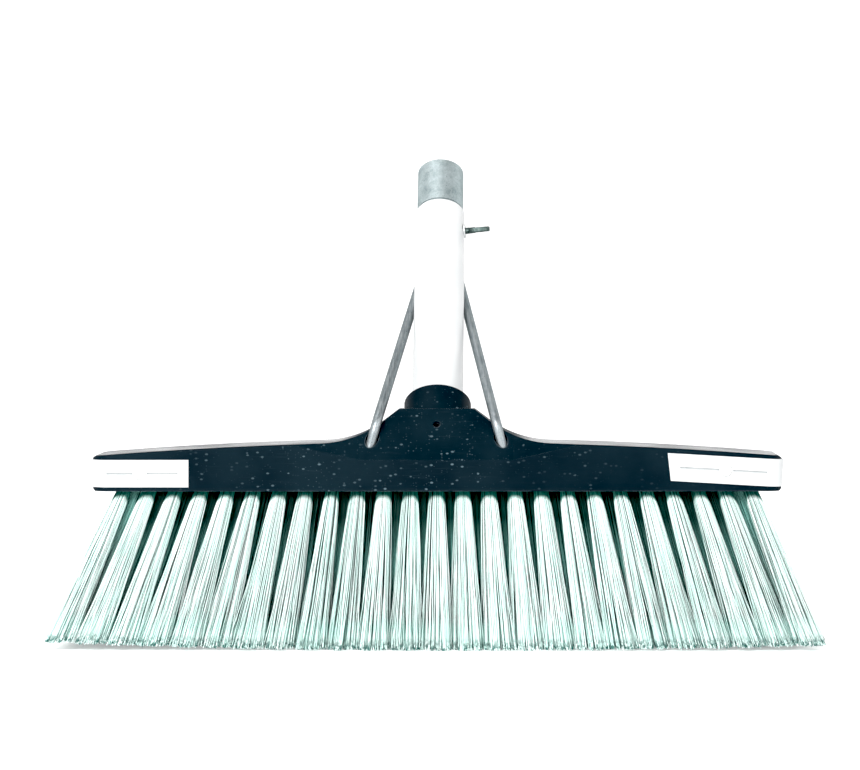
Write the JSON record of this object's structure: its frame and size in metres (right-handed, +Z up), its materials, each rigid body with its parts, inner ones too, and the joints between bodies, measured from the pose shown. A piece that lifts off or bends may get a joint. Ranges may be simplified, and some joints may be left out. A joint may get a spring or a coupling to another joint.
{
  "type": "pool wall brush",
  "caption": "Pool wall brush with flared tufts, soft end bumpers, a braced leaning socket tube and a clamped adapter tube that takes the pole.",
  "frame": {"origin": "on the plane of the bristle tips, under the middle of the block, at the tip of the middle strand", "axes": "+X along the block, +Y to the back, the way the handle leans, +Z up from the bristle tips"},
  "size_m": [0.501, 0.2014, 0.3254],
  "materials": {
    "block_plastic": "moulded black plastic with fine light flecks",
    "bumper_rubber": "soft white, satin",
    "rivet_nylon": "white nylon",
    "bristle_fibre": "pale green flagged fibre",
    "anchor_wire": "drawn flat wire",
    "white_coating": "white powder coat",
    "black_steel": "black oxide",
    "zinc_rod": "zinc plated, drawn",
    "zinc_fastener": "zinc plated",
    "pad_brass": "turned",
    "screw_steel": "dark zinc",
    "galvanised_tube": "galvanised, mottled",
    "ring_nylon": "natural nylon"
  },
  "bodies": {
    "head": {"block": "block_plastic", "bumper_left": "bumper_rubber", "bumper_right": "bumper_rubber", "bumper_rivets": "rivet_nylon", "bristle_row_1": "bristle_fibre", "bristle_row_2": "bristle_fibre", "bristle_row_3": "bristle_fibre", "bristle_row_4": "bristle_fibre", "bristle_row_5": "bristle_fibre", "tuft_anchors": "anchor_wire", "socket_tube": "white_coating", "socket_screw": "black_steel", "stay_left": "zinc_rod", "stay_right": "zinc_rod", "stay_lug": "white_coating", "stay_bolt": "zinc_fastener", "stay_washers": "zinc_fastener", "stay_nut": "zinc_fastener", "clamp_nut": "white_coating"},
    "guide_ring": {"adapter_ring": "ring_nylon"},
    "adapter": {"adapter_tube": "galvanised_tube"},
    "screw_pad": {"clamp_pad": "pad_brass"},
    "thumb_screw": {"clamp_screw": "screw_steel"}
  },
  "joints": [
    {"name": "adapter_slide", "type": "slide", "parent": "head", "child": "guide_ring", "axis": [0, 0.6428, 0.766], "range_m": [-0.03, 0.04]},
    {"name": "adapter_turn", "type": "hinge", "parent": "guide_ring", "child": "adapter", "pos_m": [0, 0.08798, 0.235], "axis": [0, 0.6428, 0.766], "continuous": true},
    {"name": "pad_advance", "type": "slide", "parent": "head", "child": "screw_pad", "axis": [0.9903, -0.1066, 0.0895], "range_m": [0, 0.00104]},
    {"name": "clamp_screw_turn", "type": "hinge", "parent": "screw_pad", "child": "thumb_screw", "pos_m": [0.01703, 0.11828, 0.27485], "axis": [0.9903, -0.1066, 0.0895], "range_deg": [0, 540]}
  ],
  "couplings": [
    {"joint": "clamp_screw_turn", "follows": "pad_advance", "rad_per_m": 8976}
  ]
}
